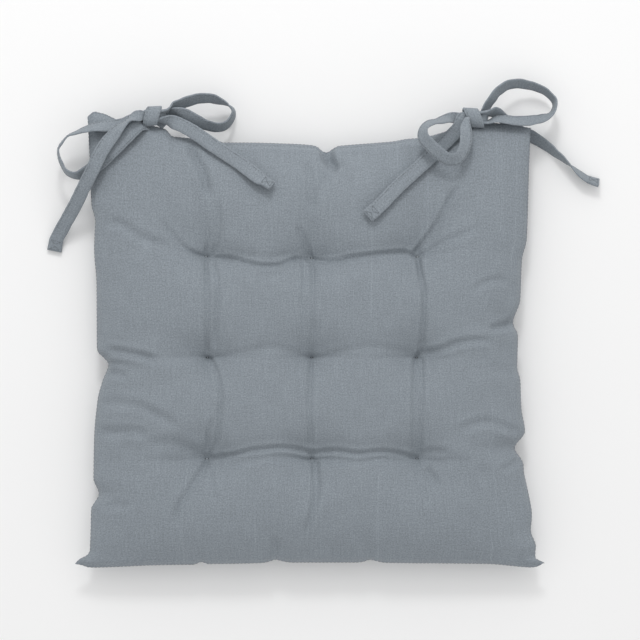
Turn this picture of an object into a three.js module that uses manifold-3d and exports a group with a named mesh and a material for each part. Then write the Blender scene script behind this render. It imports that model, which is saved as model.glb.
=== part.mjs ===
// Tufted chair seat pad with four fabric ties, lying flat with its face up.
// Millimetres. +Z is up from the surface the pad lies on, +Y points to the tied back edge.
import * as THREE from 'three';
import { mergeVertices } from 'three/addons/utils/BufferGeometryUtils.js';
import Module from 'manifold-3d';

const wasm = await Module();
wasm.setup();

// Driving dimensions of the pad.
const GAP = 0.3;              // clearance between pieces that touch in the real pad
const FABRIC = 0.9;           // thickness of the cover cloth
const SEAM_HEIGHT = 21;       // knife-edge seam above the resting surface
const CREST_HEIGHT = 49;      // highest puff of the face
const TUFT_FACE = 28;         // face cloth where a tuft pulls it down
const TUFT_UNDERSIDE = 10;    // underside cloth where a tuft pulls it up
const UNDERSIDE_DROP = 7;     // how far the free underside would sag below the surface
const SIDE_REACH = 179;       // middle of the left and right edges from the centre
const CORNER_SPREAD = 8;      // how much wider the pad is towards its corners
const EAR_REACH = 10;         // pointed ear of each front corner beyond that
const FRONT_EDGE = -191;      // straight front edge
const BACK_EDGE = 166;        // middle of the back edge
const BACK_EDGE_RISE = 25;    // back corners stand this much further back

// Tufts: three columns and three rows.
const TUFT_COLUMNS = [-87.5, 1, 90];
const TUFT_ROWS = [-100.5, -15, 69];
const STITCH_LENGTH = 3.6;    // between the two holes of one tuft stitch
const TUFT_THREAD = 0.8;      // thickness of the tufting thread
const HOLE_RADIUS = 0.75;     // needle hole

// Mesh fineness.
const CELLS = 32;             // grid steps across the pad, a multiple of four
const FILLING_MARGIN = 2;     // grid steps that the filling stays inside the edge

// Ties.
const TIE_THICKNESS = 3;      // a flat 12 mm tie stands as a plain round tube
const TIE_SIDES = 8;
const STEPS_PER_POINT = 2;    // tube steps between two route points

// Threads of the seams.
const SEAM_THREAD = 1;
const SEAM_LINE = 0.965;      // edge seam thread, as a share of the way out to the rim
const CLOSING_HALF_LENGTH = 81;

const clothColour = 0x888f96;
const fillingColour = 0xe9e8e3;
const threadColour = 0x8b9299;

function cloth() {
  return new THREE.MeshStandardMaterial({ color: clothColour, roughness: 0.93, metalness: 0 });
}

function fibre() {
  return new THREE.MeshStandardMaterial({ color: fillingColour, roughness: 1, metalness: 0 });
}

function thread() {
  return new THREE.MeshStandardMaterial({ color: threadColour, roughness: 0.8, metalness: 0 });
}

function named(name, geometry, material) {
  const mesh = new THREE.Mesh(geometry, material);
  mesh.name = name;
  return mesh;
}

// Plan of the pad: u runs left to right and v front to back, both from -1 to 1.

function sideReach(v) {
  const ear = v < 0 ? EAR_REACH * v ** 24 : 0;
  return SIDE_REACH + CORNER_SPREAD * v ** 4 + ear;
}

function backEdge(u) {
  return BACK_EDGE + BACK_EDGE_RISE * Math.abs(u) ** 2.6;
}

// The three tuft lines and the two edges each take a quarter of the parameter.
function between(stations, t) {
  const place = (t + 1) * 2;
  const index = Math.min(3, Math.floor(place));
  return THREE.MathUtils.lerp(stations[index], stations[index + 1], place - index);
}

function planPoint(u, v) {
  const reach = sideReach(v);
  return {
    x: between([-reach, ...TUFT_COLUMNS, reach], u),
    y: between([FRONT_EDGE, ...TUFT_ROWS, backEdge(u)], v),
  };
}

// 1 inside the outer tuft lines, falling to 0 at the edge in a full round shoulder.
function shoulder(t) {
  const beyond = Math.max(0, (Math.abs(t) - 0.5) / 0.5);
  return Math.sqrt(Math.max(0, 1 - beyond ** 2.4));
}

// 0 at a tuft, 1 at the middle of a puff.
function puff(u, v) {
  const across = Math.abs(Math.sin(2 * Math.PI * u));
  const along = Math.abs(Math.sin(2 * Math.PI * v));
  return ((across + along) / 2) ** 0.8;
}

function faceRise(u, v) {
  const rise = TUFT_FACE - SEAM_HEIGHT + (CREST_HEIGHT - TUFT_FACE) * puff(u, v);
  return rise * shoulder(u) * shoulder(v);
}

function undersideFall(u, v) {
  const pulled = SEAM_HEIGHT - TUFT_UNDERSIDE;
  const fall = pulled + (TUFT_UNDERSIDE + UNDERSIDE_DROP) * puff(u, v);
  return Math.min(fall * shoulder(u) * shoulder(v), SEAM_HEIGHT - GAP / 2 - FABRIC);
}

// Heights of the four cloth surfaces, from the top down.
const faceOuter = (u, v) => SEAM_HEIGHT + GAP / 2 + FABRIC + faceRise(u, v);
const faceInner = (u, v) => faceOuter(u, v) - FABRIC;
const undersideInner = (u, v) => SEAM_HEIGHT - GAP / 2 - undersideFall(u, v);
const undersideOuter = (u, v) => undersideInner(u, v) - FABRIC;

// A closed solid between two height functions, over the grid less a margin all round.
function gridSolid(upper, lower, margin) {
  const count = CELLS - 2 * margin;
  const positions = [];
  const indices = [];
  for (const height of [upper, lower]) {
    for (let row = 0; row <= count; row += 1) {
      for (let column = 0; column <= count; column += 1) {
        const u = (2 * (column + margin)) / CELLS - 1;
        const v = (2 * (row + margin)) / CELLS - 1;
        const { x, y } = planPoint(u, v);
        positions.push(x, y, height(u, v));
      }
    }
  }
  const layer = (count + 1) ** 2;
  const at = (column, row) => row * (count + 1) + column;
  for (let row = 0; row < count; row += 1) {
    for (let column = 0; column < count; column += 1) {
      const a = at(column, row);
      const b = at(column + 1, row);
      const c = at(column + 1, row + 1);
      const d = at(column, row + 1);
      indices.push(a, b, c, a, c, d);
      indices.push(layer + a, layer + c, layer + b, layer + a, layer + d, layer + c);
    }
  }
  const wall = (a, b) => indices.push(a, layer + a, layer + b, a, layer + b, b);
  for (let step = 0; step < count; step += 1) {
    wall(at(step, 0), at(step + 1, 0));
    wall(at(count, step), at(count, step + 1));
    wall(at(count - step, count), at(count - step - 1, count));
    wall(at(0, count - step), at(0, count - step - 1));
  }
  const geometry = new THREE.BufferGeometry();
  geometry.setAttribute('position', new THREE.Float32BufferAttribute(positions, 3));
  geometry.setIndex(indices);
  return geometry;
}

// Boolean work: three.js geometry to a manifold solid and back.

function toSolid(geometry) {
  const bare = geometry.clone();
  bare.deleteAttribute('normal');
  bare.deleteAttribute('uv');
  const merged = mergeVertices(bare, 1e-4);
  return new wasm.Manifold(new wasm.Mesh({
    numProp: 3,
    vertProperties: new Float32Array(merged.attributes.position.array),
    triVerts: new Uint32Array(merged.index.array),
  }));
}

function toGeometry(solid) {
  const mesh = solid.getMesh();
  const geometry = new THREE.BufferGeometry();
  geometry.setAttribute('position', new THREE.Float32BufferAttribute(mesh.vertProperties, 3));
  geometry.setIndex(Array.from(mesh.triVerts));
  return geometry;
}

function tuftCentres() {
  return TUFT_ROWS.flatMap((y) => TUFT_COLUMNS.map((x) => ({ x, y })));
}

// Two needle holes at every tuft, bored right through.
function withNeedleHoles(geometry) {
  let solid = toSolid(geometry);
  for (const tuft of tuftCentres()) {
    for (const side of [-1, 1]) {
      const drill = new THREE.CylinderGeometry(HOLE_RADIUS, HOLE_RADIUS, 2 * CREST_HEIGHT, 8);
      drill.rotateX(Math.PI / 2);
      drill.translate(tuft.x + (side * STITCH_LENGTH) / 2, tuft.y, SEAM_HEIGHT);
      solid = solid.subtract(toSolid(drill));
    }
  }
  return toGeometry(solid);
}

// One tuft stitch: a loop of thread down one hole, across the underside and up the other.
function tuftStitch() {
  const half = TUFT_THREAD / 2;
  const clear = 1.4;
  const top = TUFT_FACE + FABRIC + GAP + clear;
  const bottom = TUFT_UNDERSIDE - FABRIC - GAP - clear;
  const frame = new THREE.Shape();
  const reach = STITCH_LENGTH / 2;
  frame.moveTo(-reach - half, bottom - half);
  frame.lineTo(reach + half, bottom - half);
  frame.lineTo(reach + half, top + half);
  frame.lineTo(-reach - half, top + half);
  frame.closePath();
  const inside = new THREE.Path();
  inside.moveTo(-reach + half, bottom + half);
  inside.lineTo(-reach + half, top - half);
  inside.lineTo(reach - half, top - half);
  inside.lineTo(reach - half, bottom + half);
  inside.closePath();
  frame.holes.push(inside);
  const geometry = new THREE.ExtrudeGeometry(frame, { depth: TUFT_THREAD, bevelEnabled: false });
  geometry.translate(0, 0, -half);
  geometry.rotateX(Math.PI / 2);
  return geometry;
}

// The edge seam: a ring of thread just inside the rim, between the two cloths.
function seamOutline(reach) {
  const corners = [[-reach, -reach], [reach, -reach], [reach, reach], [-reach, reach]];
  const points = [];
  corners.forEach(([u, v], index) => {
    const [nextU, nextV] = corners[(index + 1) % 4];
    for (let step = 0; step < CELLS; step += 1) {
      const along = step / CELLS;
      const { x, y } = planPoint(u + (nextU - u) * along, v + (nextV - v) * along);
      points.push(new THREE.Vector2(x, y));
    }
  });
  return points;
}

function edgeSeam() {
  const shape = new THREE.Shape(seamOutline(SEAM_LINE));
  const inner = SEAM_LINE - SEAM_THREAD / (SIDE_REACH / 2);
  shape.holes.push(new THREE.Path(seamOutline(inner).reverse()));
  const geometry = new THREE.ExtrudeGeometry(shape, { depth: SEAM_THREAD, bevelEnabled: false });
  geometry.translate(0, 0, SEAM_HEIGHT - SEAM_THREAD / 2);
  return geometry;
}

// A curve whose steps follow its control points, so that close points get fine steps.
class RouteCurve extends THREE.CatmullRomCurve3 {
  getUtoTmapping(u) {
    return u;
  }
}

function roundSection(radius, sides) {
  const points = [];
  for (let side = 0; side < sides; side += 1) {
    const angle = (2 * Math.PI * side) / sides;
    points.push(new THREE.Vector2(radius * Math.cos(angle), radius * Math.sin(angle)));
  }
  return new THREE.Shape(points);
}

function tubeAlong(route, radius, sides) {
  const curve = new RouteCurve(route.map((point) => new THREE.Vector3(...point)), false, 'centripetal');
  const steps = (route.length - 1) * STEPS_PER_POINT;
  return new THREE.ExtrudeGeometry(roundSection(radius, sides), { steps, extrudePath: curve });
}

// The thread that closes the filling opening, along the middle of the back edge.
function closingSeam() {
  const radius = SEAM_THREAD / 2;
  const points = [];
  for (let step = -6; step <= 6; step += 1) {
    const x = (CLOSING_HALF_LENGTH * step) / 6;
    const y = backEdge(x / SIDE_REACH) + radius + 2 * GAP;
    points.push([x, y, SEAM_HEIGHT]);
  }
  return tubeAlong(points, radius, TIE_SIDES);
}

// Bow knots. One tie wraps the knot and tucks its end through, the other hooks it with a bight.
// Both are given from the knot's centre: x right, y back, z up.

const WRAP_HEIGHT = 7.3;      // half of the knot along the back edge's normal
const WRAP_DEPTH = 4.6;       // half of the knot front to back
const BIGHT_HALF = 3.7;       // half spread of the bight inside the wrap

const LEFT_LEAN = 0.42;       // how far each knot's turn leans sideways, per height
const RIGHT_LEAN = -0.28;

function wrapPoints(lean) {
  const turn = [];
  for (let eighth = 0; eighth <= 8; eighth += 1) {
    const angle = (Math.PI * eighth) / 4;
    const across = -2.3 + (4.6 * eighth) / 8;
    const along = WRAP_HEIGHT * Math.sin(angle);
    turn.push([across + along * lean, along, -WRAP_DEPTH * Math.cos(angle)]);
  }
  const before = [[-9, -1, -5]];
  const after = [[8, 0, -5], [11, 0, -2.4], [8, 0, 0], [0, 0, 0], [-5, 0, 1], [-10, 0, 5.4]];
  return [...before, ...turn, ...after];
}

// side is +1 where the bight comes in behind and leaves in front, -1 the other way round.
function bightPoints(side) {
  const spread = BIGHT_HALF * side;
  return [
    [12, spread, 0],
    [2, spread, 0],
    [-6, spread, 0],
    [-10.5, 0, 0],
    [-6, -spread, 0],
    [2, -spread, 0],
    [12, -spread, 0],
  ];
}

function tieRoute(before, knotCentre, knotPoints, after) {
  const [cx, cy, cz] = knotCentre;
  const knot = knotPoints.map(([x, y, z]) => [cx + x, cy + y, cz + z]);
  return [...before, ...knot, ...after];
}

const LEFT_KNOT = [-134, 189.5, 29];
const RIGHT_KNOT = [138, 188, 29];

// Each tie runs from the back seam round its loop, through the knot and out to its hemmed end.
const tieRoutes = {
  tie_left_outer: tieRoute(
    [
      [-138.5, 181.5, 22], [-141.5, 181.8, 28.5], [-146, 180.5, 34.5], [-155, 171.5, 37.5],
      [-168, 158.5, 37], [-180, 148, 33], [-193, 140.5, 28], [-201, 139.5, 26.5], [-208.5, 143.5, 24.5],
      [-212.5, 152, 23], [-214.5, 161, 23], [-211, 167.5, 24], [-204.5, 173.7, 26], [-194.5, 177, 28],
      [-180.5, 180.5, 30], [-169, 180.8, 31], [-157.5, 182.8, 30], [-151, 186, 27.5],
    ],
    LEFT_KNOT,
    wrapPoints(LEFT_LEAN),
    [
      [-153, 185, 38.5], [-165, 173.5, 41.5], [-175.6, 159, 41.5], [-184, 142.5, 38.5],
      [-191.7, 129, 32], [-198.6, 117, 24], [-206, 105.5, 15.5], [-213.5, 94, 8], [-218, 86.4, 4],
      [-220.3, 76.1, 2.2],
    ],
  ),
  tie_left_inner: tieRoute(
    [
      [-130, 182, 21], [-127, 186, 20], [-119.5, 191.5, 22], [-110, 192, 28], [-96, 185.5, 26],
      [-83, 181, 20], [-74, 182, 15], [-67.5, 188.5, 12], [-66.5, 196, 12], [-72, 201, 14],
      [-82, 205, 16], [-95, 205.5, 18], [-108, 201.5, 21], [-117, 198, 25],
    ],
    LEFT_KNOT,
    bightPoints(1),
    [
      [-113, 183, 31], [-101, 177, 32], [-80, 162.5, 36.5], [-60, 149, 41.5], [-44, 136.7, 48],
      [-32, 129, 50],
    ],
  ),
  tie_right_inner: tieRoute(
    [
      [134, 181, 22], [131.5, 179.5, 27.5], [131.5, 182.5, 32.5], [132.3, 187.6, 35.8],
      [131, 182.5, 39.2], [130.5, 175, 43], [130, 165.5, 47.5], [126.5, 155.8, 51], [122, 151.3, 52.3],
      [115.5, 151, 53], [107, 156, 54], [99.5, 163, 54], [94.3, 169.3, 53], [94, 175.5, 51],
      [98.5, 181, 47.5], [109, 184.5, 40], [121, 187.7, 27.5],
    ],
    RIGHT_KNOT,
    wrapPoints(RIGHT_LEAN),
    [
      [125, 179, 35], [119, 172.3, 34], [113, 166.3, 35.3], [104, 157.3, 38.5], [95, 148.5, 42],
      [75, 130.4, 46.8], [62, 116.8, 50], [55.5, 110.3, 51.2], [47.6, 103.4, 51.5],
    ],
  ),
  tie_right_outer: tieRoute(
    [
      [142, 181, 21], [146.5, 188.5, 17.5], [150, 198.5, 19], [155.5, 206.5, 21], [160, 211.5, 20],
      [168, 217, 17.5], [178.5, 218.5, 14.5], [191, 216, 12], [202, 211, 12], [208, 204, 13],
      [207, 196, 16], [199, 189.5, 21], [186, 186, 25], [169, 186, 28.5], [158, 186.8, 29.5],
    ],
    RIGHT_KNOT,
    bightPoints(-1),
    [
      [155, 193.5, 25.5], [163, 189, 19.5], [172, 181.8, 13], [181, 177.5, 8.5], [189, 174.3, 6.5],
      [195, 170.6, 6], [201.5, 166.3, 6.4], [210.5, 159.4, 6.8], [219.6, 151.5, 7], [225.5, 146.6, 7],
      [231.4, 141.5, 6.4], [237.5, 137.5, 5.9], [247, 134.3, 5.5],
    ],
  ),
};

const group = new THREE.Group();
group.name = 'chair_seat_pad';

group.add(named('top_cover', withNeedleHoles(gridSolid(faceOuter, faceInner, 0)), cloth()));
group.add(named('bottom_cover', withNeedleHoles(gridSolid(undersideInner, undersideOuter, 0)), cloth()));

const fillingTop = (u, v) => faceInner(u, v) - GAP;
const fillingBottom = (u, v) => undersideInner(u, v) + GAP;
const filling = gridSolid(fillingTop, fillingBottom, FILLING_MARGIN);
group.add(named('filling', withNeedleHoles(filling), fibre()));

tuftCentres().forEach((tuft, index) => {
  const stitch = named(`tuft_stitch_${index + 1}`, tuftStitch(), thread());
  stitch.position.set(tuft.x, tuft.y, 0);
  group.add(stitch);
});

group.add(named('edge_seam_thread', edgeSeam(), thread()));
group.add(named('closing_seam_thread', closingSeam(), thread()));

for (const [name, route] of Object.entries(tieRoutes)) {
  group.add(named(name, tubeAlong(route, TIE_THICKNESS / 2, TIE_SIDES), cloth()));
}

export default group;
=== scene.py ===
"""Tufted chair seat pad: two woven cloths sewn at a knife edge, a fibre filling, nine tufts and four ties.

Metres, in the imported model's frame: +Z up through the pad, +Y the back edge with the ties.
"""
import math

import bpy
import numpy as np
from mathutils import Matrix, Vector


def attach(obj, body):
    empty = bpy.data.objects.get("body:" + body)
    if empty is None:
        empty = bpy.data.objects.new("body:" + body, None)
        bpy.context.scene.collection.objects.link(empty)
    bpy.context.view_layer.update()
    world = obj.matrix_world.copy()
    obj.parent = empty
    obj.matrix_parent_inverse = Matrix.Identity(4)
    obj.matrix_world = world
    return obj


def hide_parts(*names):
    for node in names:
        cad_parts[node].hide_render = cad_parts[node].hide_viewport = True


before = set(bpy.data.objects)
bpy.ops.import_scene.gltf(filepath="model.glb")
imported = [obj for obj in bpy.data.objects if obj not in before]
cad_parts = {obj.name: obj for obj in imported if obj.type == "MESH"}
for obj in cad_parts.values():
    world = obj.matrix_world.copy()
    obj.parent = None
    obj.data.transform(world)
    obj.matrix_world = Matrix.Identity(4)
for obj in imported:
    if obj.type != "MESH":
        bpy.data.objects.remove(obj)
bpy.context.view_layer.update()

# Driving dimensions.
CUT_HALF = 0.200            # half of the square that each cloth is cut to
SEAM_Z = 0.021              # knife-edge seam above the floor
TUFT_X = (-0.0875, 0.001, 0.090)
TUFT_Y = (-0.1005, -0.015, 0.069)
TUFT_FACE_Z = 0.028         # face cloth at a tuft
TUFT_UNDER_Z = 0.0095       # underside cloth at a tuft
CREST_Z = 0.049             # top of the highest puffs
CUT_CELLS = 80              # steps across each cloth as it is filled
CLOTH_CELLS = 216           # steps across each finished cloth
FLOOR_CLEARANCE = 0.0003    # underside cloth above the floor
CLOTH_THICKNESS = 0.0008
FILLING_GAP = 0.004         # face cloth down to the filling; half of it below the filling
FILLING_STEP = 4            # steps of the cloth to one of the filling
TIE_WIDTH = 0.012
TIE_THICKNESS = 0.0014
ROUTE_STEP = 0.0015         # even steps along a tie or a crease
GATHER_START = 0.005        # nearer to its knot than this a tie is half its width
GATHER_SPAN = 0.011         # and it has its full width this much further out
TURN_WIDTH = 1.05           # share of a tie's width in the turn round its knot
NARROWING = 0.65            # share of the width lost where a tie is drawn tight
NARROWED_REACH = 0.008      # along the tie
UNEVEN_WIDTH = 0.05         # share of a tie's width that comes and goes
CREASING = 0.0004           # unevenness of its face
CREASING_FADE = 0.03        # which dies out over this length before the hem
KNOT_THICKER = 0.7          # shares of the thickness that the knot and the hem add
HEM_THICKER = 0.8
HEM_WIDER = 0.05            # share of the width that the hem adds
HEM_RAMP = 0.0008           # length of the step up to the hem
HEM_LENGTH = 0.0105
EDGE_LINE = -0.74           # line of edge stitches, in half widths of a tie
EDGE_STITCH = 0.0017        # one of its stitches
EDGE_STEP = 0.0028          # from one to the next
EDGE_THREAD = 0.0003        # half widths of the stitches, and how high they stand
HEM_THREAD = 0.00035
THREAD_RISE = 0.00022
HEM_STITCH = 0.22           # one stitch across the hem, in half widths of a tie
HEM_INSET = 0.0012          # hem stitches from the hem's two ends
PINCHED = {"tie_left_inner": 0.22, "tie_right_outer": 0.15}     # crumpled hems, share of the width lost
SHOULDER_POWER = 2.4        # roundness of the pad towards its seam
ROW_HEIGHT = 0.8            # height between two tufts of a row, as a share of a puff's
OUTER_ROW_HEIGHT = 0.9      # the same, out near the side seams
COLUMN_HEIGHT = 0.85        # height between two tufts of a column
FILL_OUT_REACH = 0.3        # the puffs fill out this far beyond the outer tufts, in half widths
SLIDE_REACH = 0.4           # cloth this near to a side slides out to the outline, in half widths
TUFT_RADIUS = 0.003         # cloth held fast round each tuft
FILLING_HOLD = 0.4          # how firmly the filling holds the cloth to its shape
SEAM_HOLD = 0.7             # how firmly the seam does
CORNER = 0.97               # the seam is held fast from here out to each corner
FILL_PRESSURE = 10
EVENING_PASSES = 3
FILL_FRAMES = 20            # the cloth swells to its full shape by then
SETTLE_FRAMES = 36          # and settles until then
COTTON = {
    "quality": 5, "mass": 0.3, "tension_stiffness": 15, "compression_stiffness": 15,
    "shear_stiffness": 5, "bending_stiffness": 5,
}
CUT_FORWARD = 0.010         # the flat cut lies this far forward of the origin
CUT_LIFT = 0.002            # and each cloth this far from the seam's plane

CAMERA_PLACE = (0.0079, 0.0168, 1.835)
CAMERA_LENS = 120

scene = bpy.context.scene


def link(name, mesh):
    piece = bpy.data.objects.new(name, mesh)
    scene.collection.objects.link(piece)
    return piece


def mesh_piece(name, points, faces, smooth=True):
    mesh = bpy.data.meshes.new(name)
    mesh.from_pydata([tuple(p) for p in points], [], [tuple(f) for f in faces])
    mesh.update()
    if smooth:
        mesh.polygons.foreach_set("use_smooth", [True] * len(mesh.polygons))
    return link(name, mesh)


def mesh_points(mesh):
    flat = np.empty(len(mesh.vertices) * 3)
    mesh.vertices.foreach_get("co", flat)
    return flat.reshape(-1, 3)


# ---- camera


def add_camera():
    """Straight above the face, as the photograph looks at it."""
    data = bpy.data.cameras.new("camera")
    data.lens = CAMERA_LENS
    camera = bpy.data.objects.new("camera", data)
    camera.location = CAMERA_PLACE
    scene.collection.objects.link(camera)
    scene.camera = camera


add_camera()

# ---- curves


def lengths_along(points):
    """How far along the line of points each of them lies."""
    return np.concatenate([[0], np.cumsum(np.linalg.norm(np.diff(points, axis=0), axis=1))])


def points_at(where, along, points):
    """Points of a line at these lengths along it."""
    return np.stack([np.interp(where, along, points[:, axis]) for axis in range(3)], axis=-1)


def smooth_route(points, spacing):
    """A centripetal Catmull-Rom curve through the points, cut at an even spacing."""
    p = np.asarray(points, float)
    p = np.vstack([2 * p[0] - p[1], p, 2 * p[-1] - p[-2]])
    dense = []
    for i in range(1, len(p) - 2):
        a, b, c, d = p[i - 1:i + 3]
        ta = 0.0
        tb = ta + np.linalg.norm(b - a) ** 0.5
        tc = tb + np.linalg.norm(c - b) ** 0.5
        td = tc + np.linalg.norm(d - c) ** 0.5
        t = np.linspace(tb, tc, 24, endpoint=False)[:, None]

        def blend(first, second, start, end):
            return (end - t) / (end - start) * first + (t - start) / (end - start) * second

        ab, bc, cd = blend(a, b, ta, tb), blend(b, c, tb, tc), blend(c, d, tc, td)
        dense.append(blend(blend(ab, bc, ta, tc), blend(bc, cd, tb, td), tb, tc))
    dense = np.vstack(dense + [p[-2:-1]])
    along = lengths_along(dense)
    count = max(2, int(round(along[-1] / spacing)))
    even = np.linspace(0, along[-1], count + 1)
    return points_at(even, along, dense), even


def unit(v):
    return v / np.maximum(np.linalg.norm(v, axis=-1, keepdims=True), 1e-12)


# ---- ties

LEFT_KNOT = (-0.134, 0.1895, 0.029)
RIGHT_KNOT = (0.138, 0.188, 0.029)
WRAP_HEIGHT = 0.0073
WRAP_DEPTH = 0.0046
BIGHT_HALF = 0.0037
LEFT_LEAN = 0.42     # how far each knot's turn leans sideways, per height
RIGHT_LEAN = -0.28


def wrap_points(lean):
    """The tie that goes once round the knot and tucks its end through it, from the knot's centre."""
    turn = []
    for eighth in range(9):
        angle = math.pi * eighth / 4
        across = -0.0023 + 0.0046 * eighth / 8
        along = WRAP_HEIGHT * math.sin(angle)
        turn.append((across + along * lean, along, -WRAP_DEPTH * math.cos(angle)))
    before = [(-0.009, -0.001, -0.005)]
    after = [(0.008, 0, -0.005), (0.011, 0, -0.0024), (0.008, 0, 0), (0, 0, 0)]
    after += [(-0.005, 0, 0.001), (-0.010, 0, 0.0054)]
    return before + turn + after


def bight_points(side):
    """The tie that hooks through the knot in a bight, entering behind for side 1."""
    spread = BIGHT_HALF * side
    return [
        (0.012, spread, 0), (0.002, spread, 0), (-0.006, spread, 0), (-0.0105, 0, 0),
        (-0.006, -spread, 0), (0.002, -spread, 0), (0.012, -spread, 0),
    ]


def tie_route(before, knot, knot_points, after):
    return before + [tuple(k + p for k, p in zip(knot, q)) for q in knot_points] + after


# Each tie's route: out of the seam, round its loop, through the knot and along its tail.
TIES = {
    "tie_left_outer": tie_route([
        (-0.1385, 0.1815, 0.022), (-0.1415, 0.1818, 0.0285), (-0.146, 0.1805, 0.0345),
        (-0.155, 0.1715, 0.0375), (-0.168, 0.1585, 0.037), (-0.18, 0.148, 0.033), (-0.193, 0.1405, 0.028),
        (-0.201, 0.1395, 0.0265), (-0.2085, 0.1435, 0.0245), (-0.2125, 0.152, 0.023),
        (-0.2145, 0.161, 0.023), (-0.211, 0.1675, 0.024), (-0.2045, 0.1737, 0.026),
        (-0.1945, 0.177, 0.028), (-0.1805, 0.1805, 0.03), (-0.169, 0.1808, 0.031),
        (-0.1575, 0.1828, 0.03), (-0.151, 0.186, 0.0275),
    ], LEFT_KNOT, wrap_points(LEFT_LEAN), [
        (-0.153, 0.185, 0.0385), (-0.165, 0.1735, 0.0415), (-0.1756, 0.159, 0.0415),
        (-0.184, 0.1425, 0.0385), (-0.1917, 0.129, 0.032), (-0.1986, 0.117, 0.024),
        (-0.206, 0.1055, 0.0155), (-0.2135, 0.094, 0.008), (-0.218, 0.0864, 0.004),
        (-0.2203, 0.0761, 0.0022),
    ]),
    "tie_left_inner": tie_route([
        (-0.13, 0.182, 0.021), (-0.127, 0.186, 0.02), (-0.1195, 0.1915, 0.022), (-0.11, 0.192, 0.028),
        (-0.096, 0.1855, 0.026), (-0.083, 0.181, 0.02), (-0.074, 0.182, 0.015), (-0.0675, 0.1885, 0.012),
        (-0.0665, 0.196, 0.012), (-0.072, 0.201, 0.014), (-0.082, 0.205, 0.016), (-0.095, 0.2055, 0.018),
        (-0.108, 0.2015, 0.021), (-0.117, 0.198, 0.025),
    ], LEFT_KNOT, bight_points(1), [
        (-0.113, 0.183, 0.031), (-0.101, 0.177, 0.032), (-0.08, 0.1625, 0.0365), (-0.06, 0.149, 0.0415),
        (-0.044, 0.1367, 0.048), (-0.032, 0.129, 0.05),
    ]),
    "tie_right_inner": tie_route([
        (0.134, 0.181, 0.022), (0.1315, 0.1795, 0.0275), (0.1315, 0.1825, 0.0325),
        (0.1323, 0.1876, 0.0358), (0.131, 0.1825, 0.0392), (0.1305, 0.175, 0.043), (0.13, 0.1655, 0.0475),
        (0.1265, 0.1558, 0.051), (0.122, 0.1513, 0.0523), (0.1155, 0.151, 0.053), (0.107, 0.156, 0.054),
        (0.0995, 0.163, 0.054), (0.0943, 0.1693, 0.053), (0.094, 0.1755, 0.051), (0.0985, 0.181, 0.0475),
        (0.109, 0.1845, 0.04), (0.121, 0.1877, 0.0275),
    ], RIGHT_KNOT, wrap_points(RIGHT_LEAN), [
        (0.125, 0.179, 0.035), (0.119, 0.1723, 0.034), (0.113, 0.1663, 0.0353), (0.104, 0.1573, 0.0385),
        (0.095, 0.1485, 0.042), (0.075, 0.1304, 0.0468), (0.062, 0.1168, 0.05), (0.0555, 0.1103, 0.0512),
        (0.0476, 0.1034, 0.0515),
    ]),
    "tie_right_outer": tie_route([
        (0.142, 0.181, 0.021), (0.1465, 0.1885, 0.0175), (0.15, 0.1985, 0.019), (0.1555, 0.2065, 0.021),
        (0.16, 0.2115, 0.02), (0.168, 0.217, 0.0175), (0.1785, 0.2185, 0.0145), (0.191, 0.216, 0.012),
        (0.202, 0.211, 0.012), (0.208, 0.204, 0.013), (0.207, 0.196, 0.016), (0.199, 0.1895, 0.021),
        (0.186, 0.186, 0.025), (0.169, 0.186, 0.0285), (0.158, 0.1868, 0.0295),
    ], RIGHT_KNOT, bight_points(-1), [
        (0.155, 0.1935, 0.0255), (0.163, 0.189, 0.0195), (0.172, 0.1818, 0.013), (0.181, 0.1775, 0.0085),
        (0.189, 0.1743, 0.0065), (0.195, 0.1706, 0.006), (0.2015, 0.1663, 0.0064),
        (0.2105, 0.1594, 0.0068), (0.2196, 0.1515, 0.007), (0.2255, 0.1466, 0.007),
        (0.2314, 0.1415, 0.0064), (0.2375, 0.1375, 0.0059), (0.247, 0.1343, 0.0055),
    ]),
}

UP = (0, 0, 1)
DOWN = (0, 0, -1)
WRAP_FACINGS = {0: UP, 1: UP, 3: (0, -1, 0), 5: DOWN, 7: (0, 1, 0), 9: UP, 10: UP,
                11: (-1, 0, 0), 12: DOWN, 13: DOWN, 15: DOWN}
LEFT_BIGHT_FACINGS = {1: (0, 1, 0), 3: (-1, 0, 0), 5: (0, -1, 0)}
RIGHT_BIGHT_FACINGS = {1: (0, -1, 0), 3: (-1, 0, 0), 5: (0, 1, 0)}
WRAP_COUNT = 16
BIGHT_COUNT = 7
TURNS = {"tie_left_outer": (18, 26), "tie_right_inner": (17, 25)}     # route points of the knot's turn
NARROWED = {"tie_right_inner": 3}      # the route point where a tie is drawn tight under its knot


def facings(before, loop, knot, tail):
    """Which way the flat side looks at some route points, each part counted from its own start."""
    size = WRAP_COUNT if knot is WRAP_FACINGS else BIGHT_COUNT
    found = dict(loop)
    found.update({before + k: way for k, way in knot.items()})
    found.update({before + size + k: way for k, way in tail.items()})
    return found


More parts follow.
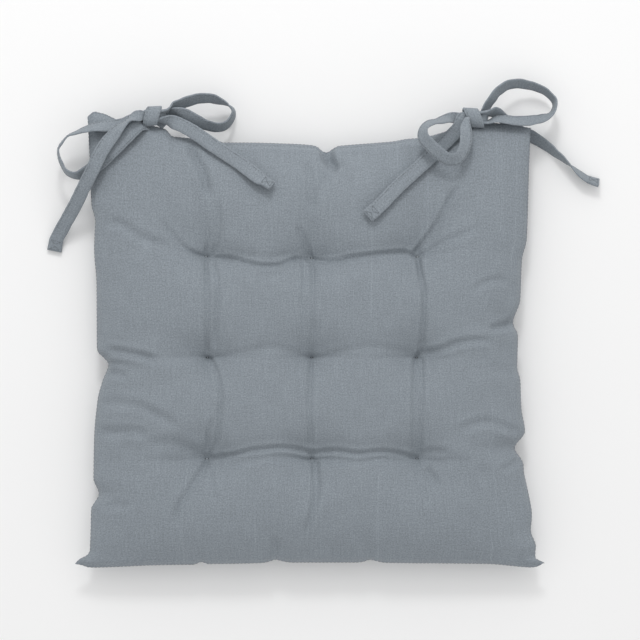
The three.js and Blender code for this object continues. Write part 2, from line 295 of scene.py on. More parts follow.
TIE_FACINGS = {
    "tie_left_outer": facings(18, {
        0: (0.8, 0.5, 0), 1: (0.6, 0.5, 0.5), 2: (0.2, 0.1, 1), 3: UP, 4: UP, 5: (-0.1, -0.4, 0.9),
        6: (-0.2, -0.85, 0.5), 7: (-0.3, -0.9, 0.35), 8: (-0.6, -0.75, 0.3), 9: (-0.9, -0.35, 0.25),
        10: (-1, 0, 0.12), 11: (-0.85, 0.45, 0.2), 12: (-0.6, 0.78, 0.1), 13: (-0.3, 0.85, 0.4),
        14: (-0.1, 0.7, 0.7), 15: (0, 0.5, 0.85), 17: (0, 0.3, 0.9),
    }, WRAP_FACINGS, {
        0: (0.62, -0.75, -0.2), 1: (0.25, -0.2, -0.9), 2: DOWN, 9: DOWN,
    }),
    "tie_left_inner": facings(14, {
        0: (0.3, 0.6, 0.6), 2: (0.3, -0.4, 0.8), 3: (0.2, -0.6, 0.75), 5: (0, -0.8, 0.6),
        7: (0.7, -0.6, 0.3), 8: (0.98, 0.1, 0.1), 9: (0.6, 0.75, -0.15), 10: (0.1, 0.8, -0.55),
        12: (-0.1, 0.7, -0.7), 13: (0, 0.8, -0.6),
    }, LEFT_BIGHT_FACINGS, {
        0: UP, 3: UP, 4: (0.15, 0.2, 0.95), 5: (0.45, 0.5, 0.7),
    }),
    "tie_right_inner": facings(17, {
        0: (0, -1, 0), 1: (0, -0.8, -0.5), 2: (0, 0.1, -1), 3: (0, 1, 0), 4: (0.1, 0.1, 1),
        5: (0.35, 0, 0.9), 6: (0.4, -0.3, 0.85), 7: (0.35, -0.5, 0.8), 8: (0.15, -0.6, 0.85),
        9: (-0.1, -0.55, 0.85), 10: (-0.3, -0.4, 0.85), 11: (-0.4, -0.25, 0.85), 12: (-0.7, 0.05, 0.7),
        13: (-0.8, 0.35, 0.5), 14: (-0.4, 0.75, 0.5), 15: (-0.2, 0.8, 0.6),
    }, WRAP_FACINGS, {
        0: DOWN, 8: DOWN,
    }),
    "tie_right_outer": facings(15, {
        0: (0, -1, -0.3), 2: (-0.7, 0.4, -0.5), 4: (-0.4, 0.7, -0.6), 6: (0, 0.8, -0.55),
        8: (0.6, 0.7, -0.3), 9: (0.95, 0.2, -0.2), 10: (0.9, -0.4, -0.2), 11: (0.2, -0.75, -0.6),
        12: (0, -0.65, -0.75), 13: (0, -0.7, -0.7),
    }, RIGHT_BIGHT_FACINGS, {
        0: (0, 0.7, -0.7), 1: (0.3, 0.6, -0.7), 2: (0.3, 0.5, -0.8), 4: (0.33, 0.48, -0.8),
        6: (0.44, 0.64, -0.6), 7: (0.51, 0.74, -0.39), 8: (0.55, 0.8, -0.07), 9: (0.53, 0.77, 0.26),
        10: (0.49, 0.71, 0.47), 12: (0.45, 0.65, 0.57),
    }),
}


def square_to(tangent, normal):
    """The normals, turned square to the curve."""
    return unit(normal - tangent * (normal * tangent).sum(1, keepdims=True))


def ribbon_frames(route, facing):
    """Even steps along a route, the strip's face normal and side there, and each route point's step."""
    curve, along = smooth_route(route, ROUTE_STEP)
    places, last = [], 0
    for point in route:
        ahead = np.linalg.norm(curve[last:last + 40] - np.array(point), axis=1)
        last += int(ahead.argmin())
        places.append(last)
    keys = sorted(facing)
    given = np.array([facing[k] for k in keys], float)
    given = given / np.linalg.norm(given, axis=1, keepdims=True)
    tangent = unit(np.gradient(curve, axis=0))
    normal = square_to(tangent, points_at(np.arange(len(curve)), [places[k] for k in keys], given))
    for _ in range(3):
        wide = np.pad(normal, ((1, 1), (0, 0)), mode="edge")
        normal = square_to(tangent, unit(wide[:-2] + 2 * wide[1:-1] + wide[2:]))
    return curve, along, normal, unit(np.cross(tangent, normal)), places


# Outline of the folded strip: across in half widths, through in half thicknesses.
STRIP_SECTION = [
    (-1, -0.35), (-0.94, -1), (-0.5, -1), (0, -1), (0.5, -1), (0.94, -1), (1, -0.35),
    (1, 0.35), (0.94, 1), (0.5, 1), (0, 1), (-0.5, 1), (-0.94, 1), (-1, 0.35),
]


def swept(name, curve, side, normal, half_width, half_depth):
    """A closed strip swept along a curve, with a map of its cloth in metres."""
    rings = []
    for across, through in STRIP_SECTION:
        rings.append(curve + side * (across * half_width)[:, None] + normal * (through * half_depth)[:, None])
    points = np.stack(rings, axis=1)
    count, around = points.shape[:2]
    faces = []
    for i in range(count - 1):
        for j in range(around):
            k = (j + 1) % around
            faces.append((i * around + j, i * around + k, (i + 1) * around + k, (i + 1) * around + j))
    faces.append(tuple(range(around))[::-1])
    faces.append(tuple((count - 1) * around + j for j in range(around)))
    piece = mesh_piece(name, points.reshape(-1, 3), faces)
    place = np.stack([
        np.repeat(lengths_along(curve), around),
        np.tile([across for across, _ in STRIP_SECTION], count) * np.repeat(half_width, around),
    ], axis=1)
    map_cloth(piece.data, place)
    return piece


def map_cloth(mesh, place):
    """Stores where each vertex lies on the flat cloth, in metres, for the weave."""
    layer = mesh.uv_layers.new(name="cut")
    corner = np.empty(len(mesh.loops), int)
    mesh.loops.foreach_get("vertex_index", corner)
    layer.data.foreach_set("uv", np.asarray(place, float)[corner].ravel())


def evened_line(values, reach):
    """The values, each averaged with its neighbours out to the reach."""
    window = np.ones(2 * reach + 1) / (2 * reach + 1)
    return np.convolve(np.pad(values, reach, mode="edge"), window, mode="valid")


def dash(middle, along, side, normal, length, half_width, height):
    """One stitch: a low rounded bar lying on the cloth."""
    points, faces = [], []
    for k in range(5):
        u = k / 4
        bulge = math.sin(math.pi * (0.12 + 0.76 * u))
        centre = middle + along * ((u - 0.5) * length)
        for across, up in ((-1, -0.4), (-0.6, 0.8), (0.6, 0.8), (1, -0.4)):
            points.append(centre + side * (across * half_width * bulge) + normal * (up * height * bulge))
    for k in range(4):
        for j in range(4):
            a, b = 4 * k + j, 4 * k + (j + 1) % 4
            faces.append((a, b, b + 4, a + 4))
    faces += [(3, 2, 1, 0), (16, 17, 18, 19)]
    return points, faces


def stitch_piece(name, stitches):
    """All of one seam's stitches as one piece."""
    points, faces = [], []
    for stitch in stitches:
        some, corners = dash(*stitch)
        faces += [tuple(len(points) + c for c in face) for face in corners]
        points += some
    return mesh_piece(name, points, faces)


def tie_stitches(curve, along, side, normal, half_width, half_depth, hem_start):
    """The line of stitches down one long edge, and the crossed box that holds the hem, on both faces."""
    length = along[-1]
    found = []

    def place(distance, across, face):
        k = min(int(round(distance / length * (len(curve) - 1))), len(curve) - 1)
        out = normal[k] * (face * (half_depth[k] + 0.00004))
        return k, curve[k] + side[k] * (across * half_width[k]) + out

    def add(start, end, face, half_thread):
        (ks, a), (ke, b) = place(*start, face), place(*end, face)
        way = b - a
        size = np.linalg.norm(way)
        way = way / size
        up = unit(normal[ks] + normal[ke]) * face
        found.append(((a + b) / 2, way, np.cross(up, way), up, size, half_thread, THREAD_RISE))

    for face in (1, -1):
        for distance in np.arange(0.004, hem_start - 0.002, EDGE_STEP):
            add((distance, EDGE_LINE), (distance + EDGE_STITCH, EDGE_LINE), face, EDGE_THREAD)
        near, far = hem_start + HEM_INSET, length - HEM_INSET
        for across in np.arange(-0.75, 0.7, 0.3):
            for end in (near, far):
                add((end, across), (end, across + HEM_STITCH), face, HEM_THREAD)
        for share in np.arange(0.0, 0.95, 0.25):
            here, there = near + (far - near) * share, near + (far - near) * (share + 0.2)
            for slant in (1, -1):
                first, last = slant * (1.4 * share - 0.7), slant * (1.4 * share - 0.42)
                add((here, first), (there, last), face, HEM_THREAD)
    return found


def make_tie(name, knot):
    """The strip and its stitches; the hem is folded back on the last stretch."""
    curve, along, normal, side, places = ribbon_frames(TIES[name], TIE_FACINGS[name])
    near = np.linalg.norm(curve - np.array(knot), axis=1)
    gather = np.clip((near - GATHER_START) / GATHER_SPAN, 0, 1)
    gather = gather * gather * (3 - 2 * gather)
    half_width = 0.5 + 0.5 * gather
    if name in TURNS:
        first, last = TURNS[name]
        half_width[places[first]:places[last] + 1] = TURN_WIDTH
    if name in NARROWED:
        away = (along - along[places[NARROWED[name]]]) / NARROWED_REACH
        half_width *= 1 - NARROWING * np.exp(-away ** 2)
    half_width = TIE_WIDTH / 2 * evened_line(half_width, 4)
    crumple = rumple(along, len(name))
    half_width = half_width * (1 - UNEVEN_WIDTH * np.abs(crumple))
    hem_start = along[-1] - HEM_LENGTH
    hem = np.clip((along - hem_start) / HEM_RAMP, 0, 1)
    half_width = half_width * (1 + (HEM_WIDER - PINCHED.get(name, 0)) * hem)
    half_depth = TIE_THICKNESS / 2 * (1 + HEM_THICKER * hem + KNOT_THICKER * (1 - gather))
    before_hem = np.clip((hem_start - along) / CREASING_FADE, 0, 1)
    curve = curve + normal * (crumple * gather * before_hem * CREASING)[:, None]
    strip = swept(name + "_strip", curve, side, normal, half_width, half_depth)
    stitches = tie_stitches(curve, along, side, normal, half_width, half_depth, hem_start)
    return strip, stitch_piece(name + "_stitching", stitches), curve, float(along[-1])


def rumple(along, seed):
    """A smooth uneven wave from -1 to 1 along a strip."""
    shift = 1.7 * seed
    waves = ((190, shift), (310, 2.1 * shift), (530, shift / 3))
    return sum(np.sin(along * often + start) for often, start in waves) / 3


# ---- the two cloths

# The sewn outline, side by side: (place along the side, how far out the seam lies there).
LEFT_EDGE = [
    (-0.188, -0.2005), (-0.181, -0.188), (-0.162, -0.187), (-0.144, -0.1865), (-0.131, -0.180),
    (-0.118, -0.1845), (-0.085, -0.184), (-0.051, -0.181), (-0.034, -0.1766), (-0.021, -0.172),
    (-0.008, -0.1815), (0.050, -0.182), (0.077, -0.184), (0.103, -0.183), (0.112, -0.186),
    (0.156, -0.188), (0.186, -0.1895), (0.190, -0.1898),
]
RIGHT_EDGE = [
    (-0.189, 0.1985), (-0.183, 0.1905), (-0.176, 0.1915), (-0.162, 0.187), (-0.150, 0.188),
    (-0.128, 0.1845), (-0.111, 0.181), (-0.105, 0.1805), (-0.092, 0.1735), (-0.078, 0.182),
    (-0.058, 0.179), (-0.034, 0.178), (-0.024, 0.1755), (0.004, 0.176), (0.014, 0.172),
    (0.034, 0.178), (0.068, 0.1795), (0.085, 0.1835), (0.145, 0.1855), (0.180, 0.187),
]
FRONT_EDGE = [
    (-0.198, -0.1905), (-0.187, -0.1936), (-0.130, -0.1915), (-0.099, -0.191), (-0.094, -0.1888),
    (-0.088, -0.1905), (-0.045, -0.1898), (-0.037, -0.189), (-0.030, -0.1868), (-0.023, -0.1885),
    (-0.015, -0.1893), (0.038, -0.1893), (0.045, -0.1885), (0.051, -0.1868), (0.057, -0.1885),
    (0.065, -0.1895), (0.150, -0.1905), (0.190, -0.1935), (0.198, -0.1895),
]
BACK_EDGE = [
    (-0.1898, 0.1895), (-0.1885, 0.1922), (-0.1855, 0.1937), (-0.181, 0.1932),
    (-0.173, 0.1912), (-0.166, 0.1875), (-0.140, 0.183), (-0.127, 0.180), (-0.122, 0.178),
    (-0.118, 0.173), (-0.105, 0.1715), (-0.081, 0.1695), (-0.073, 0.1675), (-0.057, 0.1675),
    (-0.018, 0.1665), (0.003, 0.165), (0.013, 0.159), (0.023, 0.1645), (0.033, 0.1655),
    (0.070, 0.1685), (0.081, 0.1705), (0.093, 0.1715), (0.118, 0.178), (0.128, 0.182),
    (0.148, 0.1848), (0.160, 0.1838), (0.187, 0.180),
]
TUFT_CUT = (-0.5, 0.0, 0.5)   # where the tufts lie on the cut, in half widths
MEAN_LEFT, MEAN_RIGHT = -0.186, 0.182      # where the four sides lie, roughly
MEAN_FRONT, MEAN_BACK = -0.191, 0.172


def edge_reach(points, where):
    """A smooth line through the points of one side of the outline."""
    x, y = np.array(points).T
    rise = np.diff(y) / np.diff(x)
    rise = np.concatenate([rise[:1], rise, rise[-1:]])
    same = rise[:-1] * rise[1:] > 0
    slope = np.where(same, 2 * rise[:-1] * rise[1:] / np.where(same, rise[:-1] + rise[1:], 1), 0)
    place = np.clip(where, x[0], x[-1])
    k = np.clip(np.searchsorted(x, place) - 1, 0, len(x) - 2)
    step = x[k + 1] - x[k]
    u = (place - x[k]) / step
    return (
        (2 * u ** 3 - 3 * u ** 2 + 1) * y[k] + (u ** 3 - 2 * u ** 2 + u) * step * slope[k]
        + (3 * u ** 2 - 2 * u ** 3) * y[k + 1] + (u ** 3 - u ** 2) * step * slope[k + 1]
    )


def between(cut, low, tufts, high):
    """Place across the pad for a place on the cut, even between the edges and the tufts."""
    inner = np.interp(cut, TUFT_CUT, tufts)
    inner = np.where(cut < TUFT_CUT[0], tufts[0] + (low - tufts[0]) * (TUFT_CUT[0] - cut) * 2, inner)
    return np.where(cut > TUFT_CUT[2], tufts[2] + (high - tufts[2]) * (cut - TUFT_CUT[2]) * 2, inner)


def sewn_plan(s, t):
    """Where each place of the cut lies once the pad is sewn, tufted and filled."""
    x = between(s, MEAN_LEFT, TUFT_X, MEAN_RIGHT)
    y = between(t, MEAN_FRONT, TUFT_Y, MEAN_BACK)
    for _ in range(4):
        left, right = edge_reach(LEFT_EDGE, y), edge_reach(RIGHT_EDGE, y)
        front, back = edge_reach(FRONT_EDGE, x), edge_reach(BACK_EDGE, x)
        x = between(s, left, TUFT_X, right)
        y = between(t, front, TUFT_Y, back)
    return x, y


def shoulder(cut):
    """1 over the tufts, rounding down to 0 at the seam."""
    out = np.maximum(0, (np.abs(cut) - 0.5) / 0.5)
    return np.sqrt(np.maximum(0, 1 - out ** SHOULDER_POWER))


def swell(cut):
    """0 on a line of tufts, 1 midway between lines and from there out to the seam."""
    out = np.abs(cut)
    inside = np.abs(np.sin(2 * math.pi * cut))
    return np.where(out < 0.5, inside, np.sin(np.minimum(2 * math.pi * (out - 0.5), math.pi / 2)))


def fill_out(cut):
    """0 among the tufts, 1 out near the seam, where a line of tufts no longer pulls the cloth in."""
    return np.clip((np.abs(cut) - 0.5) / FILL_OUT_REACH, 0, 1)


def puffs(s, t):
    """Height of the puffs, 0 at a tuft to about 1, lower along the rows than along the columns."""
    along_row = ROW_HEIGHT + (OUTER_ROW_HEIGHT - ROW_HEIGHT) * fill_out(s)
    along_column = COLUMN_HEIGHT + (1 - COLUMN_HEIGHT) * fill_out(t)
    return 1 - (1 - along_row * swell(s)) * (1 - along_column * swell(t))


def target_heights(s, t):
    """How high the face cloth and the underside cloth would lie on an even filling."""
    fullness = shoulder(s) * shoulder(t)
    puff = puffs(s, t)
    face = SEAM_Z + fullness * (TUFT_FACE_Z - SEAM_Z + (CREST_Z - TUFT_FACE_Z) * puff)
    under = SEAM_Z - fullness * (SEAM_Z - TUFT_UNDER_Z + (TUFT_UNDER_Z - FLOOR_CLEARANCE) * puff)
    return face, under


def grid_quads(index, turned=False):
    corners = [index[:-1, :-1], index[:-1, 1:], index[1:, 1:], index[1:, :-1]]
    quads = np.stack(corners, axis=-1).reshape(-1, 4)
    return quads[:, ::-1] if turned else quads


def two_cloth_faces(face_index, under_index):
    """Quads of both cloths, facing out."""
    return np.concatenate([grid_quads(face_index), grid_quads(under_index, turned=True)])


def rim_of(grid):
    """The grid's outermost entries, once round from its first corner."""
    return np.concatenate([grid[0, :-1], grid[:-1, -1], grid[-1, :0:-1], grid[:0:-1, 0]])


def rim_walls(index):
    """Quads from the rim of one sheet down to the sheet numbered straight after it."""
    rim = rim_of(index)
    after = np.roll(rim, -1)
    return np.stack([rim, rim + index.size, after + index.size, after], axis=1)


def hold_weights(s, t, on_border):
    """How firmly the filling and the thread hold each place of the cloth, 1 being fixed."""
    hold = np.full(len(s), FILLING_HOLD)
    hold[on_border] = SEAM_HOLD
    hold[on_border & (np.abs(s) > CORNER) & (np.abs(t) > CORNER)] = 1
    for column in TUFT_CUT:
        for row in TUFT_CUT:
            hold[np.hypot(s - column, t - row) * CUT_HALF < TUFT_RADIUS] = 1
    return hold


def fill_pad(cells):
    """The two cloths, sewn along their edge, tufted and swelled by the filling, as grids of points."""
    line = np.linspace(-1, 1, cells + 1)
    s, t = np.meshgrid(line, line)
    x, y = sewn_plan(s, t)
    face_z, under_z = target_heights(s, t)
    border = (np.abs(s) == 1) | (np.abs(t) == 1)
    inner = ~border
    count = (cells + 1) ** 2
    face_index = np.arange(count).reshape(cells + 1, cells + 1)
    under_index = face_index.copy()
    under_index[inner] = count + np.arange(inner.sum())

    def both(face_value, under_value):
        return np.concatenate([face_value.ravel(), under_value[inner]])

    target = np.stack([both(x, x), both(y, y), both(face_z, under_z)], axis=1)
    s, t, border = both(s, s), both(t, t), both(border, border)
    above = np.where(np.arange(len(s)) < count, 1, -1) * ~border
    height = SEAM_Z + above * CUT_LIFT
    cut = np.stack([s * CUT_HALF, t * CUT_HALF - CUT_FORWARD, height], axis=1)
    sheets = two_cloth_faces(face_index, under_index)
    filled = simulate_cloth(cut, sheets, target, hold_weights(s, t, border))
    change = filled - target
    face_change, under_change = evened(change[face_index]), evened(change[under_index])
    edge = border[face_index]
    face_change[edge] = under_change[edge] = (face_change[edge] + under_change[edge]) / 2
    face, under = target[face_index], target[under_index]
    outline = face[..., :2].copy()
    return to_outline(face + face_change, outline), to_outline(under + under_change, outline)
    return target[face_index], target[under_index]


def to_outline(grid, outline):
    """Slides the cloth near each side so that its edge comes back to the sewn outline, at its own height."""
    grid = grid.copy()
    out = np.abs(np.linspace(-1, 1, len(grid)))
    reach = np.clip((out - (1 - SLIDE_REACH)) / SLIDE_REACH, 0, 1) ** 2
    first_half = np.arange(len(grid)) < len(grid) // 2
    for rows, sewn in ((grid.swapaxes(0, 1), outline.swapaxes(0, 1)), (grid, outline)):
        off = sewn - rows[..., :2]
        slide = np.where(first_half[:, None, None], off[:1], off[-1:])
        rows[..., :2] += slide * reach[:, None, None]
    return grid


def evened(grid):
    """The grid with its smallest ripples taken out."""
    for _ in range(EVENING_PASSES):
        wide = np.pad(grid, ((1, 1), (1, 1), (0, 0)), mode="edge")
        rows = (wide[:-2] + 2 * wide[1:-1] + wide[2:]) / 4
        grid = (rows[:, :-2] + 2 * rows[:, 1:-1] + rows[:, 2:]) / 4
    return grid


def simulate_cloth(cut, faces, target, hold):
    """Swells the flat cut cloths towards the filled shape with Blender's cloth and gives the points."""
    pad = mesh_piece("cloth_trial", cut, faces)
    pad.shape_key_add(name="cut")
    filled = pad.shape_key_add(name="filled")
    filled.data.foreach_set("co", target.ravel())
    filled.value = 0
    filled.keyframe_insert("value", frame=1)
    filled.value = 1
    filled.keyframe_insert("value", frame=FILL_FRAMES)
    group = pad.vertex_groups.new(name="hold")
    for weight in np.unique(hold):
        group.add(np.nonzero(hold == weight)[0].tolist(), float(weight), "REPLACE")
    cloth = pad.modifiers.new("cloth", "CLOTH")
    for key, value in COTTON.items():
        setattr(cloth.settings, key, value)
    cloth.settings.vertex_group_mass = "hold"
    cloth.settings.use_pressure = True
    cloth.settings.uniform_pressure_force = FILL_PRESSURE
    cloth.settings.effector_weights.gravity = 0
    cloth.collision_settings.use_collision = False
    cloth.collision_settings.use_self_collision = False
    scene.frame_start = cloth.point_cache.frame_start = 1
    scene.frame_end = cloth.point_cache.frame_end = SETTLE_FRAMES
    for frame_number in range(1, SETTLE_FRAMES + 1):
        scene.frame_set(frame_number)
    settled = pad.evaluated_get(bpy.context.evaluated_depsgraph_get())
    points = mesh_points(settled.data).copy()
    mesh = pad.data
    bpy.data.objects.remove(pad)
    bpy.data.meshes.remove(mesh)
    scene.frame_set(1)
    return points


def between_points(points, places):
    """Weights that carry values at even places from -1 to 1 smoothly to other places."""
    cells = points - 1
    where = (np.asarray(places) + 1) / 2 * cells
    k = np.clip(where.astype(int), 0, cells - 1)
    u = where - k
    weights = np.zeros((len(where), points))
    shares = (
        (-1, (-u ** 3 + 2 * u ** 2 - u) / 2), (0, (3 * u ** 3 - 5 * u ** 2 + 2) / 2),
        (1, (-3 * u ** 3 + 4 * u ** 2 + u) / 2), (2, (u ** 3 - u ** 2) / 2),
    )
    for step, share in shares:
        np.add.at(weights, (np.arange(len(where)), np.clip(k + step, 0, cells)), share)
    return weights


def finer(grid, places):
    """The grid of points carried to a grid with rows and columns at these places."""
    weights = between_points(len(grid), places)
    return np.einsum("ia,abk,jb->ijk", weights, grid, weights)


def grid_normals(grid):
    across = np.gradient(grid, axis=1)
    along = np.gradient(grid, axis=0)
    return unit(np.cross(across, along))


# ---- creases

# Creases of the face cloth as they look from above, on the seam's plane: (depth, half width, route).
BACK_ROW = [
    (-128, 102), (-120, 92), (-111, 81), (-101, 74), (-87, 69), (-69, 69), (-52, 65), (-40, 63), (-26, 64),
    (-14, 68), (-1, 67), (21, 67), (33, 69.5), (47, 71.5), (62, 73), (81, 74), (89, 71),
]
MIDDLE_ROW = [
    (-117, -6), (-102.6, -9.6), (-87, -15), (-60, -11), (-42, -8), (-24, -8), (-9, -12), (2, -15.5),
    (13, -14), (32, -9.6), (48.7, -6.7), (64, -7.4), (80, -10), (91, -13), (96, -11), (110, -8.7),
    (123.5, -3.6),
    (138.8, -0.7), (155.8, -1),
]
FRONT_ROW = [
    (-85.6, -99.7), (-65, -98), (-51.6, -94.6), (-38, -92.9), (-24.4, -92), (-12.5, -92.9), (-0.6, -95.4),
    (4.5, -95.4), (19.8, -94.6), (40, -97), (62, -95.4), (87.8, -98.8),
]
CREASES = [
    (3.0, 11.0, BACK_ROW[3:]),
    (1.5, 2.4, BACK_ROW[:5]),
    (2.3, 1.9, BACK_ROW[4:]),
    (0.8, 3.0, [(-45, 55), (-33, 54), (-21, 56)]),
    (2.2, 4.0, [(-177, 101), (-162, 98), (-154, 93), (-142, 86), (-128, 81), (-121, 78)]),
    (1.5, 2.2, [(-89, 75), (-84, 88), (-81, 102), (-82, 119)]),
    (2.2, 2.2, [(-83, 72), (-79, 86), (-78, 102), (-79, 119)]),
    (3.6, 3.6, [(-103, 166), (-99, 156), (-92, 143), (-89, 131), (-87, 121)]),
    (2.2, 2.8, [(-1, 69), (-6, 85), (-11, 97)]),
    (2.2, 4.0, [(-4, 151), (0, 136), (2, 122), (1, 109)]),
    (5.0, 4.0, [(12, 163), (16, 152), (23, 143)]),
    (0.8, 4.0, [(15, 144), (8, 127), (4.5, 109)]),
    (2.6, 2.2, [(89, 75), (100, 88), (110, 103), (118, 120), (128, 133)]),
    (1.6, 2.4, [(93, 73), (103, 86), (110, 98), (120, 114)]),
    (1.6, 3.0, [(94, 72), (106, 79), (118, 85), (131, 90), (143, 97)]),
    (1.8, 12.0, [(96, 76), (116, 96), (134, 120), (146, 146)]),
    (1.3, 2.2, [(-88.6, 66), (-88, 40), (-87.5, 10), (-87.3, -7)]),
    (1.6, 2.2, [(-83, 66), (-79.7, 51), (-79.7, 25), (-80.5, -7)]),
    (2.0, 2.2, [(-85, -16), (-79.7, -29), (-76.8, -43), (-76.8, -58), (-78, -77), (-80.5, -88.6),
                (-85.6, -98)]),
    (1.4, 2.2, [(-83, -65), (-86.5, -78), (-87.7, -92)]),
    (1.0, 2.2, [(-5.7, 66), (-5.7, 30), (-5.7, 0)]),
    (1.1, 2.2, [(2, 66), (2, 30), (2, 0)]),
    (1.2, 2.2, [(0, -22), (-1, -50), (0, -90)]),
    (2.5, 2.2, [(91, 69.5), (93, 59), (96.3, 42), (96.6, 25), (95.4, 8), (93.7, -9), (91, -13)]),
    (1.6, 2.2, [(88.6, -17), (88, -55), (87.8, -95)]),
    (1.8, 2.2, [(94.6, -17), (93.7, -60), (92.9, -95)]),
    (1.6, 12.0, MIDDLE_ROW[1:15]),
    (0.5, 3.0, MIDDLE_ROW[:14]),
    (2.2, 3.0, MIDDLE_ROW[14:]),
    (2.6, 3.0, [(152, 9), (161, 11), (172, 15)]),
    (1.5, 3.0, [(138, 42), (148, 48), (158, 51), (168, 47)]),
    (2.6, 11.0, [(-125, -90)] + FRONT_ROW + [(112, -96)]),
    (1.6, 5.0, [(-140, -90), (-130, -88.6), (-119.6, -88), (-106, -93), (-89, -99)]),
    (2.2, 2.0, FRONT_ROW),
    (1.0, 2.4, [(-79, -106), (-60, -105.6), (-46.5, -103), (-34.6, -100.5), (-17.6, -100.5), (-0.6, -102),
                (24.9, -104), (47, -104), (58.9, -101.4), (75.9, -104.8)]),
    (1.4, 3.0, [(92.9, -97), (103, -94.6), (116.7, -95.4)]),
    (2.3, 3.0, [(-89, -105.6), (-95.8, -117.5), (-104, -129.4), (-112, -143), (-116, -158)]),
    (1.0, 3.0, [(-85.6, -109), (-84, -126), (-79.7, -139.6)]),
    (2.2, 3.0, [(4.5, -105.6), (5.3, -126), (1.9, -144.7), (-4, -166.8)]),
    (2.3, 4.0, [(96, -110.7), (103, -117.5), (108, -126)]),
    (0.9, 3.0, [(94.6, -122.6), (98.8, -141)]),
    (2.8, 3.2, [(-176, -8.7), (-162, -10.4), (-146.8, -13), (-129.8, -18)]),
    (2.2, 3.0, [(-175, -28), (-165, -29), (-156, -31)]),
    (2.0, 4.0, [(-179, -55.5), (-165.5, -53.8), (-148.5, -56), (-133, -63), (-123, -69), (-116, -75)]),
    (2.0, 4.0, [(-182, -75.9), (-170.6, -79), (-148.5, -78.4), (-138, -83.5)]),
    (1.6, 3.0, [(-175, -143), (-162, -140.5), (-153.6, -143)]),
    (2.0, 3.5, [(125, -78.4), (137, -72.5), (149, -70), (161, -72.5), (171, -76.7), (180, -79)]),
    (1.2, 3.0, [(178.7, -102), (170, -107), (160.9, -112)]),
    (1.6, 3.0, [(-29.5, -187), (-30, -177), (-31, -167)]),
]
BROAD = 8                # half width beyond which a crease is a shallow trough
FADE = 0.18              # share of a crease's length over which a loose end fades out
FADE_POWER = 0.7
TUFT_HELD = 0.001        # creases don't move the cloth this close to a tuft
TUFT_CLEAR = 0.012       # and broad ones have their full depth this much further out
COLLAR_REACH = 0.009     # the filling stands up close round each tuft
COLLAR_RISE = 0.0025
RIDGE_SHARE = 0.3        # rise beside a crease, as a share of its depth
RIDGE_PLACE = 1.9        # its middle and its half width, in half widths of the crease
RIDGE_WIDTH = 0.8


def seen_from_above(points):
    """Plan places carried along the sight lines of the view from above to the seam's plane."""
    eye = np.array(CAMERA_PLACE)
    share = (eye[2] - SEAM_Z) / (eye[2] - points[:, 2])
    return eye[:2] + (points[:, :2] - eye[:2]) * share[:, None]


def at_tuft(place):
    """True for a crease's end that runs into a tuft, where it stays deep."""
    return min(math.hypot(place[0] - x, place[1] - y) for x in TUFT_X for y in TUFT_Y) < 0.010


def crease_cloth(grid, mirrored=False, strength=1.0):
    """Presses each crease into the cloth, with a small rise along both sides of it."""
    points = grid.reshape(-1, 3)
    plan = seen_from_above(points)
    press, rise, trough = np.zeros((3, len(points)))
    for depth, half_width, route in CREASES:
        line = np.array(route) / 1000
        starts, ends = at_tuft(line[0]), at_tuft(line[-1])
        if mirrored:
            line[:, 0] *= -1
        curve, along = smooth_route(np.column_stack([line, np.zeros(len(line))]), ROUTE_STEP)
        width = half_width / 1000
        low, high = curve[:, :2].min(0) - 4 * width, curve[:, :2].max(0) + 4 * width
        near = np.nonzero(((plan > low) & (plan < high)).all(1))[0]
        away = np.linalg.norm(plan[near, None] - curve[None, :, :2], axis=2)
        closest = away.argmin(1)
        away = away[np.arange(len(near)), closest] / width
        place = along[closest] / along[-1]
        loose = np.minimum(np.where(starts, 1, place), np.where(ends, 1, 1 - place))
        deep = depth / 1000 * strength * np.clip(loose / FADE, 0, 1) ** FADE_POWER
        if half_width > BROAD:
            trough[near] = np.maximum(trough[near], deep * np.exp(-away ** 2))
        else:
            press[near] = np.maximum(press[near], deep * np.exp(-away ** 2))
            ridge = deep * RIDGE_SHARE * np.exp(-((away - RIDGE_PLACE) / RIDGE_WIDTH) ** 2)
            rise[near] = np.maximum(rise[near], ridge)
    tuft = np.min([np.hypot(plan[:, 0] - x, plan[:, 1] - y) for x in TUFT_X for y in TUFT_Y], axis=0)
    clear = np.clip((tuft - TUFT_HELD) / TUFT_CLEAR, 0, 1)
    collar = tuft / COLLAR_REACH * np.exp(1 - tuft / COLLAR_REACH) * COLLAR_RISE * strength
    move = (rise - press) * np.clip(clear * 5, 0, 1) - trough * clear + collar
    return (points + grid_normals(grid).reshape(-1, 3) * move[:, None]).reshape(grid.shape)


# ---- pieces of the pad

EDGE_FADE = 0.03            # creases come in over this share of the half width
CLOTH_GAP = 0.003           # least room between the two cloths, away from the seam
SEAM_STITCH = 0.0032        # one stitch of a seam
CLOSING_INSET = 0.0025      # topstitching from the back edge
CLOSING_HALF = 0.081        # half of the closed opening
HOLE_STEP = 0.00125         # from the middle of a tuft to each of its two needle holes
BAR_HALF = 0.00055          # half width of a tuft's bar
LEG_HALF = 0.00025          # and of its legs through the filling
HOLE_SHADE_RADIUS = 0.00095       # of the painted shade that darkens a needle hole


def cloth_places(cells):
    """Even steps from -1 to 1, drawn closer together along the lines of tufts."""
    even = np.linspace(-1, 1, cells + 1)
    return even - 0.35 * np.sin(4 * math.pi * even) / (4 * math.pi)


